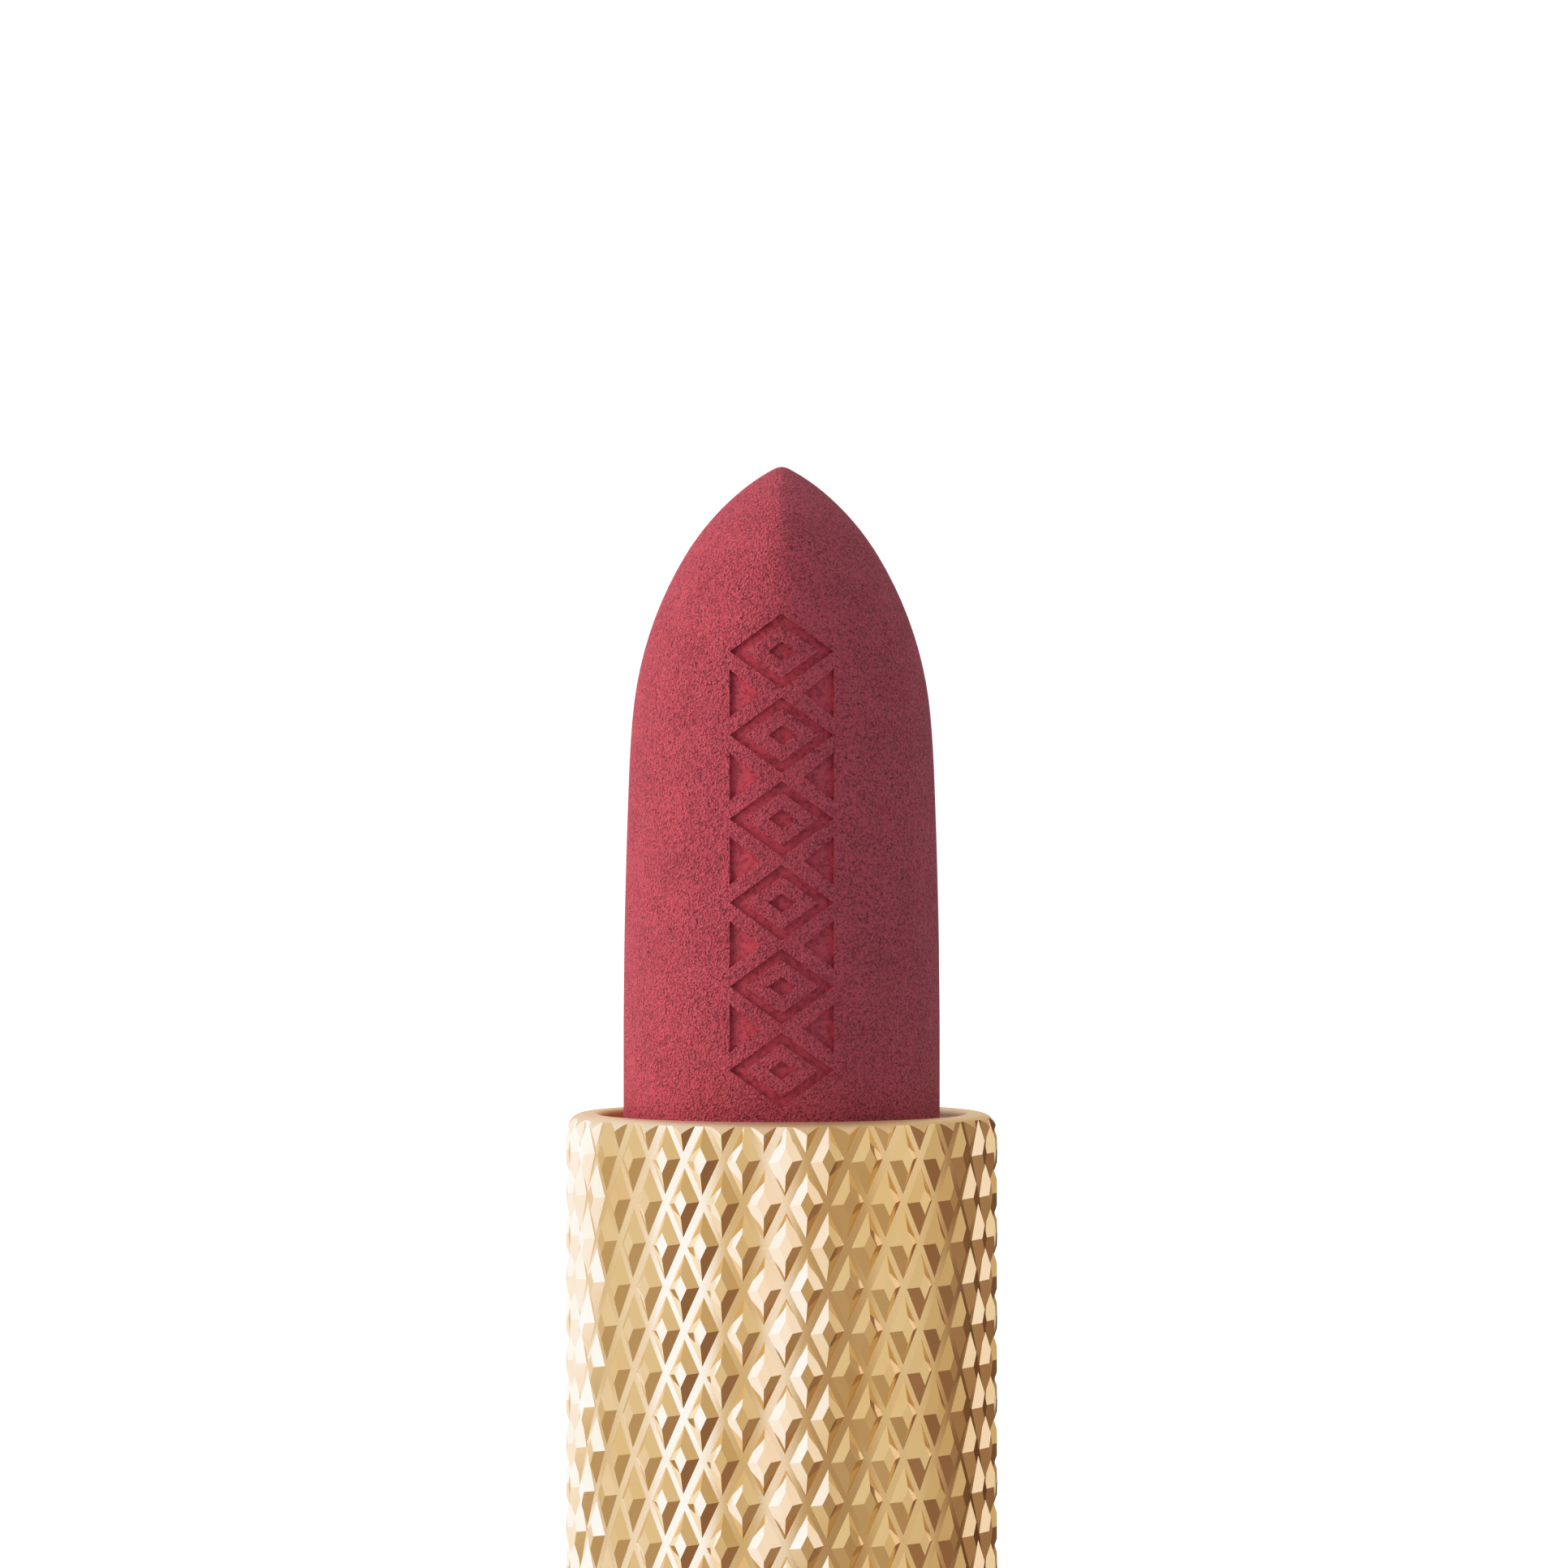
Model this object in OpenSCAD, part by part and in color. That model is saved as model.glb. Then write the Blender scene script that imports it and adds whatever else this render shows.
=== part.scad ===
// Twist-up lipstick case with a diamond-cut neck and a 12.1 mm bullet, standing on its base.
// Origin: centre of the underside of the base. +Z is up, along the axis of the case.
// The bullet is drawn fully raised. Turning the neck against the base winds it down.

/* [Bullet] */
// Radius of the bullet where it leaves the mouth
bullet_r = 6.05; // [5.0:0.05:8.0]
// Height of the bullet above the rim when it is fully raised
bullet_show = 24.7; // [20:0.1:30]
// Depth of the tip below the rim when the bullet is fully wound down
tip_below_rim = 1.3; // [0.5:0.1:3]

/* [Case] */
// Height of the base without its seat ring
base_h = 23.0; // [19:0.5:34]
// How much wider the base is than the neck, on the radius
base_step = 1.35; // [1.1:0.05:3]
// Length of the neck that shows between the seat ring and the rim
neck_show = 20.8; // [17:0.1:28]
// Wall of the base shell
base_wall = 0.6; // [0.4:0.05:0.8]
// Wall of the neck shell at the tops of its diamond-cut pattern
neck_wall = 0.55; // [0.4:0.05:1.2]
// Length of the neck shell hidden inside the seat ring
neck_tuck = 4.0; // [3:0.1:6]

/* [Rim] */
// Width of the rim from the mouth to the outside
rim_w = 1.28; // [0.9:0.02:1.5]
// Height of the solid lip that carries the rim
rim_h = 1.2; // [0.8:0.1:2]
// Rounding of the outer edge of the rim
rim_round = 0.7; // [0.2:0.05:0.8]
// Rounding of the mouth edge of the rim
mouth_round = 0.22; // [0.1:0.02:0.3]

/* [Cap seat] */
// Height of the smooth ring that the cap slides over
seat_h = 2.2; // [1.5:0.1:4]
// Wall of the seat ring
seat_wall = 0.38; // [0.3:0.02:0.6]

/* [Lift mechanism] */
// Rise of the spiral groove in one turn
lead = 18.0; // [15:0.5:24]
// Height of the cup that holds the bullet
cup_h = 8.0; // [6:0.5:10]
// Wall of the cup
cup_wall = 0.35; // [0.3:0.05:0.6]
// Floor of the cup
cup_floor = 0.6; // [0.4:0.1:1]
// Radius of the hole in the floor of the cup
cup_hole_r = 2.0; // [1:0.1:3]
// Depth of the cup's edge below the rim when it is fully raised
cup_below_rim = 0.5; // [0.2:0.1:2]
// Radius of the two lugs on the cup
lug_r = 0.8; // [0.6:0.05:1]
// Height of the lugs above the underside of the cup
lug_up = 2.2; // [2.1:0.1:3]
// Wall of the slotted guide tube
guide_wall = 0.44; // [0.35:0.01:0.7]
// Thickness and overhang of the guide tube's top flange
flange_t = 0.5; // [0.3:0.1:0.8]
flange_w = 0.5; // [0.3:0.05:0.55]
// Wall of the spiral tube
spiral_wall = 0.54; // [0.4:0.02:0.8]
// Wall of the metal sleeve around the spiral tube
sleeve_wall = 0.2; // [0.15:0.05:0.4]

/* [Base inside] */
// Height of the foot that locks the guide tube
foot_h = 1.4; // [1:0.1:2]
// Depth of the ring groove in the foot that takes the guide tube
foot_groove = 1.0; // [0.6:0.1:1]
// Radius of the two pegs under the foot and their distance from the axis
peg_r = 0.8; // [0.5:0.1:1.2]
peg_at = 4.0; // [3:0.1:4.5]
// Thickness of the web across the liner
web_t = 0.8; // [0.6:0.1:1.5]
// Wall of the liner around the weight
liner_wall = 1.2; // [0.8:0.1:1.5]
// Height of the rim that the base stands on, and its width
stand_h = 1.2; // [1.1:0.1:2]
stand_w = 0.95; // [0.8:0.05:1.5]
// Depth of the bottom disc inside the standing rim
disc_inset = 0.4; // [0.2:0.1:0.6]
// Thickness of the adhesive that holds the bottom disc
glue_t = 0.15; // [0.1:0.05:0.3]
// Width of the disc's edge that the adhesive leaves free
glue_edge = 0.4; // [0.2:0.1:1]
// Thickness of the washer under the turning parts
washer_t = 0.4; // [0.3:0.1:0.8]
// Thickness of the rubber brake rings
brake_d = 0.8; // [0.6:0.05:0.9]
// Distance of each brake ring from the end of the bore that holds it
brake_inset = 2.0; // [1:0.1:3]

/* [Clearances] */
// Radial gap between tubes that turn or slide in each other
run_gap = 0.06; // [0.03:0.01:0.1]
// Radial gap between the sleeve and the liner
bore_gap = 0.08; // [0.04:0.01:0.1]
// Radial gap between the neck and the seat ring
cover_gap = 0.12; // [0.1:0.01:0.3]
// Play along the axis at each end of the turning parts
end_play = 0.05; // [0.03:0.01:0.1]
// Gap around a lug in the spiral groove
lug_gap = 0.12; // [0.1:0.01:0.2]
// Extra room for a lug past the last turn of the groove, at each end
lug_end_gap = 0.1; // [0.05:0.05:0.3]
// Gap between the neck shell and the liner that it turns above
liner_gap = 0.6; // [0.3:0.1:1]
// Gap between the wound-down cup and the foot
stop_gap = 0.5; // [0.3:0.1:1]
// Gap around the bottom disc
disc_gap = 0.05; // [0.03:0.01:0.1]
// Gap around the weight
weight_gap = 0.1; // [0.05:0.05:0.3]
// Gap between a brake ring and the sleeve, and the same around the pegs
touch_gap = 0.02; // [0.01:0.01:0.03]

/* [Hidden] */
$fn = 120;

// The tip of the bullet is a chain of arcs. Each is [angle to the axis where it ends, radius].
tip_arcs = [[62, 0.6], [50, 7.7], [31, 10], [5, 14.5], [2.3, 45], [0.3, 280]];
arc_steps = 6;
// Amount that a cut runs past the face it opens
past = 0.2;
// Roundings of the base and of the seat ring
base_foot_round = 0.6;
base_top_round = 0.4;
seat_round = 0.2;

// Radii, from the bullet outwards
cup_in = bullet_r;
cup_out = cup_in + cup_wall;
lug_root_r = cup_in + cup_wall / 3;
guide_in = cup_out + run_gap;
guide_out = guide_in + guide_wall;
flange_r = guide_out + flange_w;
spiral_in = guide_out + run_gap;
spiral_out = spiral_in + spiral_wall;
sleeve_out = spiral_out + sleeve_wall;
neck_out = sleeve_out + neck_wall;
mouth_r = neck_out - rim_w;
seat_in = neck_out + cover_gap;
seat_out = seat_in + seat_wall;
base_out = neck_out + base_step;
base_in = base_out - base_wall;
bore_r = sleeve_out + bore_gap;
cavity_r = base_in - liner_wall;
disc_hole_r = base_out - stand_w;
disc_r = disc_hole_r - disc_gap;
glue_r = disc_r - glue_edge;
brake_mid_r = sleeve_out + touch_gap + brake_d / 2;
brake_groove_r = sleeve_out + brake_d + 2 * touch_gap;

// Heights, from the rim downwards
seat_top = base_h + seat_h;
rim_z = seat_top + neck_show;
lip_under = rim_z - rim_h;
neck_bottom = seat_top - neck_tuck;
liner_top = neck_bottom - liner_gap;
cup_z = rim_z - cup_below_rim - cup_h;
bullet_z = cup_z + cup_floor;
tip_z = rim_z + bullet_show;
lug_z = cup_z + lug_up;
travel = bullet_show + tip_below_rim;
flange_top = lip_under - 2 * end_play;
flange_under = flange_top - flange_t;
foot_top = cup_z - travel - stop_gap;
foot_bottom = foot_top - foot_h;
web_bottom = foot_bottom - web_t;
turn_bottom = foot_top + washer_t + end_play;
slot_top = lug_z + lug_r + lug_gap;
brake_low_z = turn_bottom + brake_inset;
brake_high_z = liner_top - brake_inset;

// Widths of the guide slots and of the spiral groove
slot_w = 2 * (lug_r + run_gap);
key_w = slot_w - 2 * touch_gap;
groove_mid_r = (spiral_in + spiral_out) / 2;
groove_slope = atan(lead / (2 * PI * groove_mid_r));
groove_half = (lug_r + lug_gap) / cos(groove_slope);
groove_over = asin((lug_r + lug_gap + lug_end_gap) / spiral_in);
groove_turn = 360 * travel / lead;
groove_step = 10;

// End of an arc chain that starts on the axis, as [radius, depth below the tip]
function arc_end(k) = k == 0 ? [0, 0] : arc_point(k - 1, tip_arcs[k - 1][0]);
function arc_from(k) = k == 0 ? 90 : tip_arcs[k - 1][0];
function arc_point(k, a) =
    arc_end(k) + tip_arcs[k][1] * [cos(a) - cos(arc_from(k)), sin(arc_from(k)) - sin(a)];

// Half outline of the bullet's tip, scaled so that the last arc reaches the bullet's radius
tip_scale = bullet_r / arc_end(len(tip_arcs))[0];
tip_outline = [
    for (k = [0 : len(tip_arcs) - 1], i = [1 : arc_steps])
        tip_scale * arc_point(k, arc_from(k) + (tip_arcs[k][0] - arc_from(k)) * i / arc_steps)
];

// Rectangle from a to b with rounded corners: [lower inner, lower outer, upper outer, upper inner]
module bar(a, b, round = [0, 0, 0, 0]) {
    corner = [a, [b[0], a[1]], b, [a[0], b[1]]];
    inward = [[1, 1], [-1, 1], [-1, -1], [1, -1]];
    difference() {
        translate(a) square(b - a);
        for (i = [0 : 3])
            if (round[i] > 0)
                translate(corner[i] + inward[i] * (round[i] - past) / 2)
                    square(round[i] + past, center = true);
    }
    for (i = [0 : 3])
        if (round[i] > 0)
            intersection() {
                translate(corner[i] + inward[i] * round[i]) circle(r = round[i]);
                translate(a) square(b - a);
            }
}

// Plain ring or tube around the axis
module tube(r_in, r_out, z0, z1) {
    rotate_extrude() bar([r_in, z0], [r_out, z1]);
}

// Two straight channels of a given width through the wall, at +X and -X
module channels(w, z0, z1) {
    translate([-base_out, -w / 2, z0]) cube([2 * base_out, w, z1 - z0]);
}

// Corners of the spiral cutter at angle a, from below the inner wall round to above it
function cutter_ring(a, start) = let (
    z = lug_z + lead * a / 360,
    out = (spiral_out + past) / cos(groove_step / 2),
    c = cos(a + start),
    s = sin(a + start),
    low = spiral_in - past
) [
    [low * c, low * s, z - groove_half],
    [out * c, out * s, z - groove_half],
    [out * c, out * s, z + groove_half],
    [low * c, low * s, z + groove_half]
];

// Cutter for one spiral groove, from the wound-down end to the raised end
module spiral_cutter(start) {
    full = groove_turn + 2 * groove_over;
    n = ceil(full / groove_step);
    points = [
        for (i = [0 : n])
            each cutter_ring(groove_over - full + full * i / n, start)
    ];
    sides = [
        for (i = [0 : n - 1], k = [0 : 3])
            let (p = 4 * i + k, q = 4 * i + (k + 1) % 4)
                each [[p, q, p + 4], [q, q + 4, p + 4]]
    ];
    e = 4 * n;
    ends = [[0, 2, 1], [0, 3, 2], [e, e + 1, e + 2], [e, e + 2, e + 3]];
    polyhedron(points, concat(sides, ends));
}

module base_shell() {
    color("#d2ac68")
        rotate_extrude() {
            bar([disc_hole_r, 0], [base_out, stand_h], [0, base_foot_round, 0, 0]);
            bar([base_in, base_foot_round], [base_out, base_h], [0, 0, base_top_round, 0]);
        }
}

module base_liner() {
    color("#e9e4da")
        difference() {
            rotate_extrude() {
                bar([bore_r, web_bottom], [base_in, liner_top]);
                bar([cavity_r, stand_h], [base_in, web_bottom + web_t / 2]);
                bar([0, web_bottom], [bore_r + past, foot_bottom]);
            }
            for (z = [brake_low_z, brake_high_z])
                tube(bore_r - past, brake_groove_r, z - brake_d / 2 - touch_gap,
                     z + brake_d / 2 + touch_gap);
            for (side = [-1, 1])
                translate([0, side * peg_at, web_bottom - past])
                    cylinder(r = peg_r + touch_gap, h = web_t + 2 * past);
        }
}

module base_weight() {
    color("#8f9194")
        translate([0, 0, stand_h])
            cylinder(r = cavity_r - weight_gap, h = web_bottom - stand_h);
}

module disc_adhesive() {
    color("#f2efe6")
        translate([0, 0, stand_h - glue_t]) cylinder(r = glue_r, h = glue_t);
}

module bottom_disc() {
    color("#d8b877")
        translate([0, 0, disc_inset]) cylinder(r = disc_r, h = stand_h - glue_t - disc_inset);
}

module seat_ring() {
    color("#e0c080")
        rotate_extrude() {
            bar([seat_in, liner_top], [seat_out, seat_top], [0, 0, seat_round, 0]);
            bar([seat_in + seat_wall / 2, liner_top], [base_in, base_h]);
        }
}

module guide_foot() {
    color("#ddd6c6") {
        difference() {
            translate([0, 0, foot_bottom]) cylinder(r = bore_r, h = foot_h);
            difference() {
                tube(guide_in, guide_out, foot_top - foot_groove, foot_top + past);
                channels(key_w, foot_top - foot_groove - past, foot_top + 2 * past);
            }
        }
        for (side = [-1, 1])
            translate([0, side * peg_at, web_bottom + touch_gap])
                cylinder(r = peg_r, h = web_t + foot_h / 2);
    }
}

module guide_tube() {
    color("#d9c39a")
        difference() {
            union() {
                tube(guide_in, guide_out, foot_top - foot_groove, flange_top);
                tube(guide_in, flange_r, flange_under, flange_top);
            }
            channels(slot_w, foot_top - foot_groove - past, slot_top - slot_w / 2);
            translate([-base_out, 0, slot_top - slot_w / 2])
                rotate([0, 90, 0]) cylinder(d = slot_w, h = 2 * base_out);
        }
}

module thrust_washer() {
    color("#f4f1ea") tube(guide_out, sleeve_out, foot_top, foot_top + washer_t);
}

module brake_ring(z) {
    color("#3a3734") rotate_extrude() translate([brake_mid_r, z]) circle(d = brake_d);
}

module brake_ring_lower() {
    brake_ring(brake_low_z);
}

module brake_ring_upper() {
    brake_ring(brake_high_z);
}

module spiral_tube() {
    color("#efe9dc")
        difference() {
            tube(spiral_in, spiral_out, turn_bottom, flange_under - end_play);
            for (start = [0, 180]) spiral_cutter(start);
        }
}

module spiral_sleeve() {
    color("#c9ccd0") tube(spiral_out, sleeve_out, turn_bottom, lip_under);
}

module neck_shell() {
    color("#cda763")
        rotate_extrude() {
            bar([sleeve_out, neck_bottom], [neck_out, rim_z - rim_round]);
            bar([mouth_r, lip_under], [neck_out, rim_z], [0, 0, rim_round, mouth_round]);
        }
}

module lipstick_cup() {
    color("#e6d3a8") {
        difference() {
            translate([0, 0, cup_z]) cylinder(r = cup_out, h = cup_h);
            translate([0, 0, bullet_z]) cylinder(r = cup_in, h = cup_h);
            translate([0, 0, cup_z - past]) cylinder(r = cup_hole_r, h = cup_floor + 2 * past);
        }
        for (side = [-1, 1])
            translate([side * lug_root_r, 0, lug_z])
                rotate([0, side * 90, 0])
                    cylinder(r = lug_r, h = spiral_out - lug_gap - lug_root_r);
    }
}

module lipstick_bullet() {
    color("#b2495c")
        rotate_extrude()
            polygon(concat(
                [[0, bullet_z], [bullet_r, bullet_z]],
                [for (i = [len(tip_outline) - 1 : -1 : 0]) [tip_outline[i][0], tip_z - tip_outline[i][1]]],
                [[0, tip_z]]
            ));
}

base_shell();
base_liner();
base_weight();
disc_adhesive();
bottom_disc();
seat_ring();
guide_foot();
guide_tube();
thrust_washer();
brake_ring_lower();
brake_ring_upper();
spiral_tube();
spiral_sleeve();
neck_shell();
lipstick_cup();
lipstick_bullet();
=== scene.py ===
# %% [markdown]
# # A twist-up lipstick, finished around its fixed frame
#
# The case is already designed: every piece has its size and its place, and this file only gives
# the pieces their looks. Three of them need shapes that the plain design leaves out: the neck and
# the base with their diamond-cut pattern, and the wax bullet with its ridge and its pressed motif.
# The others keep their own meshes and get a finish.
#
# Loading the frame comes first, because every position below is worked out from it. The boxes of
# the pieces that the rest depends on are measured straight away.

# %% Load the frame and measure it
import bpy
import bmesh
import math
import numpy as np
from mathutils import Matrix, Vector


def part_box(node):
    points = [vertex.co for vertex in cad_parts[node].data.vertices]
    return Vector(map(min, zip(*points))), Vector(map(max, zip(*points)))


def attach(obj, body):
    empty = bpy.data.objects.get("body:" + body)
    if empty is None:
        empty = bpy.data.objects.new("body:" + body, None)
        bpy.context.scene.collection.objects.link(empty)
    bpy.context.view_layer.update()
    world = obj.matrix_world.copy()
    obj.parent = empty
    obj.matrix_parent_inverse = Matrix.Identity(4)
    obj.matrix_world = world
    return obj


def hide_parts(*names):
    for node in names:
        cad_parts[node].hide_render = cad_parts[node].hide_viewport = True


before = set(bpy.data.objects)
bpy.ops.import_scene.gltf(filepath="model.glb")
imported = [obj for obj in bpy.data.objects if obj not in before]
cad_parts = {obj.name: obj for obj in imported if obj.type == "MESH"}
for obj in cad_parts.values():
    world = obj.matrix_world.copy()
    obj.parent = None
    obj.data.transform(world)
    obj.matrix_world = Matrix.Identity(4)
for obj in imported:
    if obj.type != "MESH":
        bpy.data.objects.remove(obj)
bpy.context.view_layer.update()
MM = 0.001
print("pieces in the frame:", len(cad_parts))

# %% The places that everything else is worked out from
neck_low, neck_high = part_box("neck_shell")
base_low, base_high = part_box("base_shell")
wax_low, wax_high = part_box("lipstick_bullet")
cup_edge_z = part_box("lipstick_cup")[1].z
rim_z = neck_high.z
neck_r = neck_high.x
neck_bore_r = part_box("spiral_sleeve")[1].x
base_r = base_high.x
base_bore_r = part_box("seat_ring")[1].x
wax_r = wax_high.x
heart = Vector((0, 0, rim_z))
print(f"rim at {rim_z / MM:.1f} mm, tip at {wax_high.z / MM:.1f} mm")
print(f"neck radius {neck_r / MM:.2f} mm, bullet radius {wax_r / MM:.2f} mm")

# %% [markdown]
# ## The camera
#
# A small thing is best seen through a long lens from a little way off, because its upright edges
# then stay upright. This camera is level, a quarter of a metre from the case and a little higher
# than the rim, so that the mouth shows as a thin ellipse and the bullet fills the middle.
# A level camera needs no tilt: it is turned a quarter turn to look along the floor.

# %% Set the camera
camera_away = 250 * MM
camera_above_rim = 12.57 * MM
camera_aside = 0.09 * MM
lens_mm = 150
sensor_mm = 36
camera = bpy.data.objects.new("camera", bpy.data.cameras.new("camera"))
camera.data.lens = lens_mm
camera.data.sensor_width = sensor_mm
camera.data.clip_start = 10 * MM
camera.location = (camera_aside, -camera_away, rim_z + camera_above_rim)
camera.rotation_euler = (math.pi / 2, 0, 0)
bpy.context.scene.collection.objects.link(camera)
bpy.context.scene.camera = camera
bpy.context.scene.view_settings.view_transform = "Standard"
print("camera height", round(camera.location.z / MM, 2), "mm")

# %% [markdown]
# ## Shader arithmetic
#
# A finish is a small graph of nodes. Written out node by node it is hard to read, so one class
# wraps an output socket and turns Python's own arithmetic into Math nodes. Its `node` method adds
# any other node: settings first, because some of them change which sockets exist, then sockets.


# %% A wire that can be added, multiplied and mixed
class Wire:
    """An output socket of a material. Arithmetic on wires and numbers adds Math nodes."""

    def __init__(self, tree, socket=None):
        self.tree = tree
        self.socket = socket

    def node(self, kind, settings, sockets, output=0):
        made = self.tree.nodes.new("ShaderNode" + kind)
        for name, value in settings.items():
            if name == "stops":
                set_stops(made.color_ramp, value)
            else:
                setattr(made, name, value)
        for name, value in sockets.items():
            if isinstance(value, Wire):
                self.tree.links.new(value.socket, made.inputs[name])
            else:
                made.inputs[name].default_value = value
        return Wire(self.tree, made.outputs[output] if made.outputs else None)

    def math(self, operation, *terms):
        return self.node("Math", {"operation": operation}, dict(enumerate(terms)))

    def __add__(self, other):
        return self.math("ADD", self, other)

    def __mul__(self, other):
        return self.math("MULTIPLY", self, other)

    def __sub__(self, other):
        return self.math("SUBTRACT", self, other)

    def __rsub__(self, other):
        return self.math("SUBTRACT", other, self)

    __radd__ = __add__
    __rmul__ = __mul__

    def between(self, low, high):
        """1 where the value is above high, 0 below low, and smooth in between."""
        settings = {"interpolation_type": "SMOOTHSTEP"}
        return self.node("MapRange", settings, {"Value": self, "From Min": low, "From Max": high})

    def blend(self, dark, light):
        """The colour between dark and light that this wire picks, 0 to 1."""
        return self.node("Mix", {"data_type": "RGBA"}, {0: self, 6: dark, 7: light}, output=2)


def set_stops(ramp, stops):
    """Puts these (place, colour) stops on a ramp that comes with two."""
    first, *middle, last = stops
    for element, (place, shade) in zip(ramp.elements, (first, last)):
        element.position = place
        element.color = shade
    for place, shade in middle:
        ramp.elements.new(place).color = shade


def rgb(red, green, blue):
    return (red, green, blue, 1.0)


print("shader helper ready")

# %% [markdown]
# Every finish below starts with the object's own coordinates to hang grain on, and the finish of a
# piece ends in a Principled shader, whose sockets take plain numbers and wires alike. The pieces
# sit at the origin, so object coordinates are metres in the case's frame, and the grain rides
# along when a piece moves.


# %% Start a finish and close it
def start_finish(name):
    """A new material with its place wire, in metres."""
    material = bpy.data.materials.new(name)
    material.use_nodes = True
    material.node_tree.nodes.clear()
    place = Wire(material.node_tree).node("TexCoord", {}, {}, output="Object")
    return material, place


def speckle(place, size, detail=2.0, rough=0.5):
    """Noise from 0 to 1 with grains of about the given size."""
    return place.node(
        "TexNoise", {}, {"Vector": place, "Scale": 1 / size, "Detail": detail, "Roughness": rough}
    )


def stretched(place, x, y, z):
    """The place with each axis scaled, which draws the grain out along the small ones."""
    return place.node("VectorMath", {"operation": "MULTIPLY"}, {0: place, 1: (x, y, z)})


def relief(height, depth):
    """A normal bumped by a height wire of 0 to 1 that stands for the given depth."""
    return height.node("Bump", {}, {"Height": height, "Distance": depth, "Strength": 1.0})


def close_finish(material, place, sockets):
    """Adds the Principled shader with these sockets and joins it to the output."""
    shader = place.node("BsdfPrincipled", {}, sockets)
    place.node("OutputMaterial", {}, {"Surface": shader})
    print("finish", material.name, "with", len(material.node_tree.nodes), "nodes")
    return material


# %% [markdown]
# ## Gold plate
#
# The metal is brass with a pale gold plate, which comes in four finishes. The little facets are
# burnished almost to a mirror, the grooves between them keep the fine scratches of the cutting
# wheel, and the rim, the collars and the seat ring are satin and a shade deeper. Real plate is
# never quite even, so a slow cloud shifts the colour between a warmer and a cooler gold, and the
# scratches move the roughness by a fifth either way.

# %% Gold finishes
PLATE_SHADES = (rgb(0.925, 0.75, 0.50), rgb(0.945, 0.80, 0.575))
SATIN_SHADES = (rgb(0.81, 0.63, 0.38), rgb(0.87, 0.70, 0.45))
PLATE_CLOUD = 4 * MM


def gold(name, roughness, grain, grain_depth, streak=(1, 1, 1), shades=PLATE_SHADES):
    """Gold plate of a given roughness, with a streaky grain of a given size and depth."""
    material, place = start_finish(name)
    cloud = speckle(place, PLATE_CLOUD)
    scratches = speckle(stretched(place, *streak), grain, detail=3.0, rough=0.6)
    return close_finish(
        material,
        place,
        {
            "Base Color": cloud.between(0.35, 0.65).blend(*shades),
            "Metallic": 1.0,
            "Roughness": roughness * (0.8 + 0.4 * scratches),
            "Normal": relief(scratches, grain_depth),
        },
    )


gold_facet = gold("gold_facet", 0.07, 0.30 * MM, 0.0003 * MM)
gold_groove = gold("gold_groove", 0.20, 0.10 * MM, 0.0022 * MM, streak=(1, 1, 3))
gold_rim = gold("gold_rim", 0.56, 0.12 * MM, 0.0040 * MM, (1, 1, 4), SATIN_SHADES)
gold_satin = gold("gold_satin", 0.36, 0.15 * MM, 0.0030 * MM, (1, 1, 6), SATIN_SHADES)
FACET, GROOVE, RIM = range(3)
gold_slots = [gold_facet, gold_groove, gold_rim]

# %% [markdown]
# ## Rings and tubes
#
# Most of a lipstick case is turned on a lathe, and so is its mesh: an outline of radius and
# height is carried round the axis. The outline is closed, so the result is a solid that can be
# cut. A rounded edge is an arc of its own, written once here and used in every outline.


# %% Turn an outline into a solid
AROUND = 192


def arc(centre_r, centre_z, radius, start, end, steps=8):
    """Points of an arc in an outline, from one angle to another in degrees."""
    angles = np.radians(np.linspace(start, end, steps + 1))
    return [(centre_r + radius * math.cos(a), centre_z + radius * math.sin(a)) for a in angles]


def new_piece(name, points, faces, slots, slot_index=0, smooth=True):
    """An object made of points and faces, with its outward side worked out."""
    mesh = bpy.data.meshes.new(name)
    mesh.from_pydata([tuple(p) for p in points], [], faces)
    for material in slots:
        mesh.materials.append(material)
    mesh.polygons.foreach_set("material_index", [slot_index] * len(mesh.polygons))
    mesh.polygons.foreach_set("use_smooth", [smooth] * len(mesh.polygons))
    work = bmesh.new()
    work.from_mesh(mesh)
    bmesh.ops.recalc_face_normals(work, faces=work.faces)
    work.to_mesh(mesh)
    work.free()
    piece = bpy.data.objects.new(name, mesh)
    bpy.context.scene.collection.objects.link(piece)
    return piece


def turned(name, outline, slots, slot_index=0):
    """The closed outline of (radius, height) points carried round the axis."""
    count = len(outline)
    points = []
    for step in range(AROUND):
        a = 2 * math.pi * step / AROUND
        points += [(r * math.sin(a), -r * math.cos(a), z) for r, z in outline]
    faces = []
    for step in range(AROUND):
        here = step * count
        there = (step + 1) % AROUND * count
        for k in range(count):
            up = (k + 1) % count
            faces.append((here + k, there + k, there + up, here + up))
    return new_piece(name, points, faces, slots, slot_index)


def carve(target, tool, operation):
    """Cuts the target with the tool, exactly, and throws the tool away."""
    step = target.modifiers.new("carve", "BOOLEAN")
    step.operation = operation
    step.solver = "EXACT"
    step.object = tool
    graph = bpy.context.evaluated_depsgraph_get()
    carved = bpy.data.meshes.new_from_object(target.evaluated_get(graph))
    target.modifiers.clear()
    target.data = carved
    bpy.data.objects.remove(tool)
    print(operation.lower(), target.name, "now has", len(carved.polygons), "faces")


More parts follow.
